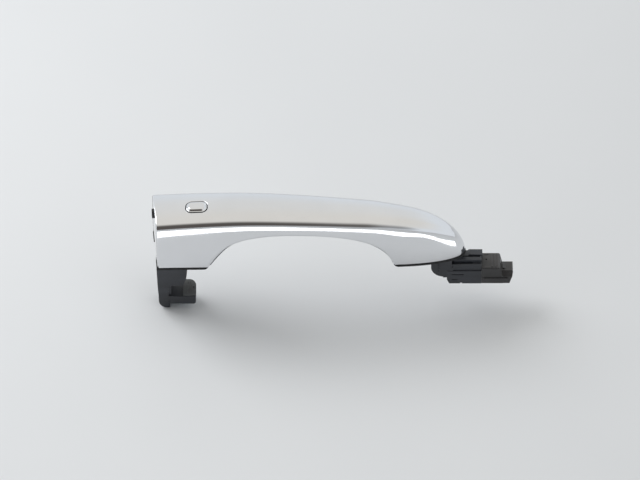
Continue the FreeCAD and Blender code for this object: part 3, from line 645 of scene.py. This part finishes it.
# ---- Materials --------------------------------------------------------------------------------------------
class Nodes:
    """Small helper around one node tree."""

    def __init__(self, owner, coordinates):
        owner.use_nodes = True
        self.tree = owner.node_tree
        self.where = self.tree.nodes.new("ShaderNodeTexCoord").outputs[coordinates]

    def add(self, kind, **settings):
        node = self.tree.nodes.new(kind)
        for key, value in settings.items():
            setattr(node, key, value)
        return node

    def link(self, a, b):
        self.tree.links.new(a, b)

    def stretched(self, scale):
        """Coordinates scaled differently along each axis."""
        mapping = self.add("ShaderNodeMapping")
        mapping.inputs["Scale"].default_value = scale
        self.link(self.where, mapping.inputs["Vector"])
        return mapping.outputs["Vector"]

    def noise(self, scale, detail=3.0, roughness=0.55, vector=None):
        node = self.add("ShaderNodeTexNoise")
        node.inputs["Scale"].default_value = scale
        node.inputs["Detail"].default_value = detail
        node.inputs["Roughness"].default_value = roughness
        self.link(vector or self.where, node.inputs["Vector"])
        return node.outputs["Fac"]

    def cells(self, scale, vector=None):
        node = self.add("ShaderNodeTexVoronoi", feature="SMOOTH_F1")
        node.inputs["Scale"].default_value = scale
        node.inputs["Smoothness"].default_value = 0.5
        self.link(vector or self.where, node.inputs["Vector"])
        return node.outputs["Distance"]

    def ramp(self, value, low, high, to_low=0.0, to_high=1.0):
        node = self.add("ShaderNodeMapRange", interpolation_type="SMOOTHSTEP")
        node.inputs["From Min"].default_value = low
        node.inputs["From Max"].default_value = high
        node.inputs["To Min"].default_value = to_low
        node.inputs["To Max"].default_value = to_high
        self.link(value, node.inputs["Value"])
        return node.outputs["Result"]

    def maths(self, operation, a, b):
        node = self.add("ShaderNodeMath", operation=operation)
        for socket, value in zip(node.inputs, (a, b)):
            if isinstance(value, (int, float)):
                socket.default_value = value
            else:
                self.link(value, socket)
        return node.outputs[0]

    def mix(self, factor, low, high):
        """Colour mix; low and high are colours or sockets."""
        node = self.add("ShaderNodeMix", data_type="RGBA")
        self.link(factor, node.inputs["Factor"])
        for socket, value in ((node.inputs[6], low), (node.inputs[7], high)):
            if isinstance(value, tuple):
                socket.default_value = (*value, 1.0)
            else:
                self.link(value, socket)
        return node.outputs[2]

    def dot(self, a, b):
        """Dot product of a socket with a socket or a fixed direction."""
        node = self.add("ShaderNodeVectorMath", operation="DOT_PRODUCT")
        self.link(a, node.inputs[0])
        if isinstance(b, tuple):
            node.inputs[1].default_value = b
        else:
            self.link(b, node.inputs[1])
        return node.outputs["Value"]


class Surface(Nodes):
    """One material's nodes; positions are in metres from the origin."""

    def __init__(self, name):
        self.material = bpy.data.materials.new(name)
        super().__init__(self.material, "Object")
        self.shader = self.tree.nodes["Principled BSDF"]

    def set(self, **values):
        for key, value in values.items():
            self.shader.inputs[key.replace("_", " ")].default_value = value

    def edges(self, radius):
        """1 on a convex or concave edge, 0 on flat areas."""
        bevel = self.add("ShaderNodeBevel", samples=4)
        bevel.inputs["Radius"].default_value = radius
        geometry = self.add("ShaderNodeNewGeometry")
        return self.ramp(self.dot(bevel.outputs["Normal"], geometry.outputs["Normal"]), 0.995, 0.80)

    def bump(self, height, strength, distance):
        node = self.add("ShaderNodeBump")
        node.inputs["Strength"].default_value = strength
        node.inputs["Distance"].default_value = distance
        self.link(height, node.inputs["Height"])
        return node.outputs["Normal"]

    def finish(self, colour, roughness, normal=None):
        """Links the three sockets that vary over the surface."""
        self.link(colour, self.shader.inputs["Base Color"])
        self.link(roughness, self.shader.inputs["Roughness"])
        if normal is not None:
            self.link(normal, self.shader.inputs["Normal"])
        return self.material


def chrome(name, tint, rough):
    """Bright plating over plastic: faint orange peel, hazy patches and hairline marks along the grip."""
    n = Surface(name)
    n.set(Metallic=1.0)
    haze = n.noise(38, 4)
    hairs = n.ramp(n.noise(420, 2, vector=n.stretched((0.06, 1, 1))), 0.60, 0.72)
    dust = n.ramp(n.noise(2600, 2), 0.70, 0.80)
    colour = n.mix(n.ramp(haze, 0.3, 0.7), tuple(0.97 * c for c in tint), tint)
    roughness = n.ramp(haze, 0.25, 0.75, rough, rough + 0.03)
    roughness = n.maths("ADD", roughness, n.maths("MULTIPLY", hairs, 0.03))
    roughness = n.maths("ADD", roughness, n.maths("MULTIPLY", dust, 0.05))
    peel = n.bump(n.noise(420, 1), 0.012, 0.0002)
    return n.finish(colour, roughness, peel)


def moulded(name, colour, rough, grain=3200, edge_highlight_amount=0.0):
    """Spark-eroded moulding: fine grain, patchy sheen and, where an edge amount is given, a painted
    highlight that lightens the edges, which are also made glossier.
    """
    n = Surface(name)
    n.set(IOR=1.5, Specular_IOR_Level=0.6)
    patches = n.noise(30, 4)
    flow = n.noise(90, 3, vector=n.stretched((0.35, 1, 1)))
    darker = tuple(0.75 * c for c in colour)
    paler = tuple(1.35 * c + 0.002 for c in colour)
    tone = n.mix(n.ramp(flow, 0.3, 0.7), darker, paler)
    roughness = n.ramp(patches, 0.3, 0.7, rough - 0.05, rough + 0.07)
    if edge_highlight_amount:
        # Painted highlight: edges found by the bevel are lightened in colour, in patches, and their
        # roughness drops so they are glossier too.
        edge_highlight_and_polish = n.maths("MULTIPLY", n.edges(0.0005), n.ramp(n.noise(260, 4), 0.35, 0.65, 0.25, 1.0))
        tone = n.mix(edge_highlight_and_polish, tone, tuple(c + edge_highlight_amount for c in colour))
        roughness = n.maths("SUBTRACT", roughness, n.maths("MULTIPLY", edge_highlight_and_polish, 0.12))
    grains = n.maths("ADD", n.cells(grain), n.maths("MULTIPLY", n.noise(grain * 0.5, 2), 0.6))
    return n.finish(tone, roughness, n.bump(grains, 0.35, 0.00006))


def rubber(name, colour, rough=0.7):
    """Matt elastomer: bloom in soft patches and a fine skin."""
    n = Surface(name)
    n.set(IOR=1.45)
    bloom = n.ramp(n.noise(120, 5, 0.65), 0.42, 0.75)
    tone = n.mix(bloom, colour, tuple(1.7 * c + 0.006 for c in colour))
    roughness = n.ramp(n.noise(300, 3), 0.3, 0.7, rough - 0.06, rough + 0.1)
    return n.finish(tone, roughness, n.bump(n.noise(2400, 4), 0.3, 0.00008))


def metal(name, colour, rough, spots):
    """Bare or plated metal with drawing marks along X and dull tarnish in spots."""
    n = Surface(name)
    n.set(Metallic=1.0)
    marks = n.noise(1800, 3, vector=n.stretched((0.05, 1, 1)))
    tarnish = n.ramp(n.noise(240, 4), 0.5, 0.75)
    tone = n.mix(n.maths("MULTIPLY", tarnish, spots), colour, tuple(0.45 * c for c in colour))
    roughness = n.ramp(marks, 0.3, 0.7, rough - 0.06, rough + 0.1)
    return n.finish(tone, roughness, n.bump(marks, 0.2, 0.00003))


def ferrite():
    """Sintered ferrite: dark and gritty."""
    n = Surface("ferrite_grey")
    grit = n.noise(1500, 5, 0.7)
    tone = n.mix(n.ramp(grit, 0.35, 0.65), (0.035, 0.035, 0.037), (0.085, 0.083, 0.08))
    return n.finish(tone, n.ramp(grit, 0.3, 0.7, 0.55, 0.75), n.bump(grit, 0.4, 0.00008))


def windings():
    """Enamelled copper wire, turn beside turn."""
    n = Surface("coil_enamel")
    n.set(Metallic=0.85, Coat_Weight=0.6, Coat_Roughness=0.12)
    wave = n.add("ShaderNodeTexWave", wave_type="BANDS", bands_direction="X", wave_profile="SIN")
    wave.inputs["Scale"].default_value = 900
    wave.inputs["Distortion"].default_value = 0.15
    n.link(n.where, wave.inputs["Vector"])
    turn = wave.outputs["Fac"]
    # The dark part of each band is painted shade, standing in for the groove between neighbouring turns.
    tone = n.mix(n.ramp(turn, 0.1, 0.7), (0.13, 0.035, 0.012), (0.62, 0.24, 0.08))
    return n.finish(tone, n.ramp(n.noise(300), 0.3, 0.7, 0.26, 0.36), n.bump(turn, 0.8, 0.0001))


def laminate():
    """Green solder mask over a woven board, with faint copper fills."""
    n = Surface("board_mask")
    n.set(Coat_Weight=0.4, Coat_Roughness=0.2)
    fills = n.ramp(n.cells(210, n.stretched((1, 1, 0.2))), 0.35, 0.38)
    weave = n.noise(1600, 2, vector=n.stretched((1, 0.2, 1)))
    tone = n.mix(fills, (0.008, 0.085, 0.028), (0.015, 0.15, 0.05))
    return n.finish(tone, n.ramp(weave, 0.3, 0.7, 0.35, 0.5), n.bump(weave, 0.2, 0.00004))


def insulation():
    """Lead insulation: four colours, by place across the flat cable."""
    n = Surface("lead_colours")
    n.set(IOR=1.5, Specular_IOR_Level=0.4)
    split = n.add("ShaderNodeSeparateXYZ")
    n.link(n.where, split.inputs[0])
    scuff = n.noise(900, 4)
    tone = n.mix(n.ramp(scuff, 0.3, 0.7), (0.30, 0.020, 0.016), (0.40, 0.035, 0.025))
    for step, colour in ((-1, (0.45, 0.30, 0.02)), (0, (0.02, 0.10, 0.32)), (1, (0.03, 0.03, 0.032))):
        side = n.maths("GREATER_THAN", split.outputs["Y"], (LEADS_Y + step * LEAD_PITCH) / 1000)
        tone = n.mix(side, tone, colour)
    return n.finish(tone, n.ramp(scuff, 0.3, 0.7, 0.38, 0.5), n.bump(scuff, 0.2, 0.00004))


def pale_plastic(name, colour, rough=0.42):
    """Unfilled engineering plastic with soft mottling."""
    n = Surface(name)
    n.set(IOR=1.49)
    cloud = n.noise(160, 4)
    tone = n.mix(n.ramp(cloud, 0.3, 0.7), tuple(0.86 * c for c in colour), colour)
    roughness = n.ramp(n.noise(420, 3), 0.3, 0.7, rough - 0.05, rough + 0.08)
    return n.finish(tone, roughness, n.bump(n.noise(2200, 3), 0.18, 0.00004))


def dress_nodes():
    """Gives every CAD node that stays its own finish."""
    finishes = {
        "carrier": moulded("carrier_black", (0.019, 0.022, 0.029), 0.42, edge_highlight_amount=0.05),
        "front_gasket": rubber("gasket_rubber", (0.012, 0.012, 0.013)),
        "rear_gasket": rubber("gasket_rubber_rear", (0.012, 0.012, 0.013)),
        "end_bumper": rubber("bumper_rubber", (0.016, 0.016, 0.017), 0.6),
        "button_guide": moulded("guide_black", (0.02, 0.021, 0.023), 0.45),
        "switch_body": moulded("switch_grey", (0.06, 0.06, 0.062), 0.4, grain=5000),
        "switch_plunger": pale_plastic("plunger_ivory", (0.62, 0.58, 0.48)),
        "circuit_board": laminate(),
        "board_components": moulded("chip_black", (0.018, 0.018, 0.02), 0.5, grain=6000),
        "board_screws": metal("board_screw_zinc", (0.60, 0.58, 0.52), 0.3, spots=0.5),
        "cover_screws": metal("cover_screw_zinc", (0.55, 0.55, 0.54), 0.28, spots=0.5),
        "sense_plate": metal("sense_copper", (0.72, 0.34, 0.20), 0.3, spots=0.7),
        "ferrite_core": ferrite(),
        "coil_bobbin": pale_plastic("bobbin_natural", (0.55, 0.50, 0.40)),
        "antenna_coil": windings(),
        "harness_wires": insulation(),
        "connector_housing": moulded("connector_black", (0.032, 0.031, 0.032), 0.42, edge_highlight_amount=0.05),
        "connector_terminals": metal("terminal_tin", (0.72, 0.70, 0.66), 0.22, spots=0.3),
        "connector_seal": rubber("seal_orange", (0.30, 0.055, 0.012), 0.5),
        "terminal_lock": pale_plastic("lock_grey", (0.10, 0.10, 0.105)),
        "catch_shoe": moulded("shoe_grey", (0.060, 0.064, 0.066), 0.40, grain=4200, edge_highlight_amount=0.06),
    }
    for node, material in finishes.items():
        for slot in frame["nodes"][node].material_slots:
            slot.material = material


def soften(node, width):
    """Breaks a CAD node's sharp edges, so that they catch the light."""
    piece = frame["nodes"][node]
    weld = piece.modifiers.new("weld", "WELD")
    weld.merge_threshold = 1e-6
    bevel = piece.modifiers.new("broken_edges", "BEVEL")
    bevel.width = width
    bevel.segments = 2
    bevel.limit_method = "ANGLE"
    bevel.angle_limit = math.radians(40)
    bevel.use_clamp_overlap = True
    bevel.harden_normals = True
    bevel.miter_outer = "MITER_ARC"


# ---- Studio -----------------------------------------------------------------------------------------------
GROUND = cad_bounds[0][2]
FLOOR_REACH = 12.0


def floor():
    """Plain pale floor."""
    mesh = bpy.data.meshes.new("studio_floor")
    corners = [(x * FLOOR_REACH, y * FLOOR_REACH, GROUND) for x, y in ((-1, -1), (1, -1), (1, 1), (-1, 1))]
    mesh.from_pydata(corners, [], [(0, 1, 2, 3)])
    piece = bpy.data.objects.new("studio_floor", mesh)
    bpy.context.scene.collection.objects.link(piece)
    n = Surface("floor_paint")
    tone = n.mix(n.ramp(n.noise(3, 3), 0.3, 0.7), (0.70, 0.72, 0.745), (0.72, 0.74, 0.765))
    mesh.materials.append(n.finish(tone, n.ramp(n.noise(40), 0.3, 0.7, 0.55, 0.62)))


# What the chrome sees: a pale room, cool low down and warmer overhead, with a dark quarter in front.
ROOM_LOW = (0.80, 0.835, 0.865)
ROOM_HIGH = (0.80, 0.775, 0.725)
DARK = (0.105, 0.094, 0.086)
DARK_AZIMUTH, DARK_ELEVATION = math.radians(-18), math.radians(30)
DARK_INNER, DARK_OUTER = math.radians(20), math.radians(50)
BACKDROP = (0.66, 0.68, 0.70)  # what the camera sees above the floor


def world():
    """Even pale surroundings with one soft dark quarter in front."""
    sky = bpy.data.worlds.new("studio")
    bpy.context.scene.world = sky
    n = Nodes(sky, "Generated")
    level = math.cos(DARK_ELEVATION)
    dark_axis = (level * math.sin(DARK_AZIMUTH), -level * math.cos(DARK_AZIMUTH), math.sin(DARK_ELEVATION))
    room = n.mix(n.ramp(n.dot(n.where, (0, 0, 1)), 0.35, 0.95), ROOM_LOW, ROOM_HIGH)
    darkness = n.ramp(n.dot(n.where, dark_axis), math.cos(DARK_OUTER), math.cos(DARK_INNER))
    seen = n.mix(darkness, room, DARK)
    plain = n.add("ShaderNodeLightPath").outputs["Is Camera Ray"]
    n.link(n.mix(plain, seen, BACKDROP), n.tree.nodes["Background"].inputs["Color"])


STRIP_POWER = 4.75  # watts per square metre
STRIP_HEIGHT = 0.004  # over the floor
KEY_PLACE, KEY_AIM = (-1.05, 0.55, 1.05), (-0.06, 0, 0.0)
KEY_SIDE, KEY_POWER = 0.9, 12.0


def area(name, place_at, size, power):
    """Rectangular light that the camera doesn't see."""
    light = bpy.data.lights.new(name, "AREA")
    light.shape = "RECTANGLE"
    light.size, light.size_y = size
    light.energy = power
    lamp = bpy.data.objects.new(name, light)
    lamp.location = place_at
    lamp.visible_camera = False
    bpy.context.scene.collection.objects.link(lamp)
    return lamp


def key_light():
    """Soft light from behind on the left, which shapes the shadow."""
    lamp = area("key", KEY_PLACE, (KEY_SIDE, KEY_SIDE), KEY_POWER)
    lamp.rotation_euler = (Vector(KEY_AIM) - Vector(KEY_PLACE)).to_track_quat("-Z", "Y").to_euler()


def floor_strip(name, x, y, turn, size):
    """Light lying on the floor in front, which draws the bright line under the shoulder."""
    lamp = area(name, (x, y, GROUND + STRIP_HEIGHT), size, STRIP_POWER * size[0] * size[1])
    lamp.rotation_euler = (math.pi, 0, math.radians(turn))


def camera(target, distance, elevation, lens):
    data = bpy.data.cameras.new("camera")
    data.lens = lens
    data.sensor_width = 36
    data.clip_end = 50
    eye = bpy.data.objects.new("camera", data)
    eye.location = Vector(target) + distance * Vector((0, -math.cos(elevation), math.sin(elevation)))
    eye.rotation_euler = (math.pi / 2 - elevation, 0, 0)
    bpy.context.scene.collection.objects.link(eye)
    bpy.context.scene.camera = eye


# ---- Assembly ---------------------------------------------------------------------------------------------
camera(target=(-0.0591, 0, 0.0107), distance=3.52, elevation=math.radians(45), lens=300)

CHROME_TINT = (0.80, 0.81, 0.83)
cover_chrome = chrome("cover_chrome", CHROME_TINT, 0.05)
button_chrome = chrome("button_chrome", CHROME_TINT, 0.06)
ring_rubber = rubber("ring_rubber", (0.014, 0.014, 0.014))
boot_grey = pale_plastic("boot_grey", (0.16, 0.16, 0.17), 0.5)
pad_black = moulded("pad_black", (0.020, 0.021, 0.023), 0.55, grain=2200)
for make, material, body, node, slot in (
    (chrome_cover, cover_chrome, "handle", "outer_cover", "chrome_plate"),
    (button_cap, button_chrome, "button", "lock_button", "button_chrome"),
    (button_ring_seal, ring_rubber, "handle", "button_seal", "seal_rubber"),
    (button_skirt, boot_grey, "handle", "button_boot", "boot_silicone"),
    (grip_pad, pad_black, "handle", "grip_pad", "pad_plastic"),
):
    piece = make()
    piece.data.materials.append(material)
    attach(piece, body)
    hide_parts(node)
    if make is button_skirt:
        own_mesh(piece)

dress_nodes()
for node, width in (("carrier", 0.0003), ("connector_housing", 0.00025), ("catch_shoe", 0.0003)):
    soften(node, width)

bpy.context.scene.view_settings.view_transform = "Standard"
floor()
world()
floor_strip("front_strip", -0.055, -0.198, -14, (0.40, 0.10))
floor_strip("nose_strip", 0.118, -0.160, 60, (0.20, 0.05))
key_light()
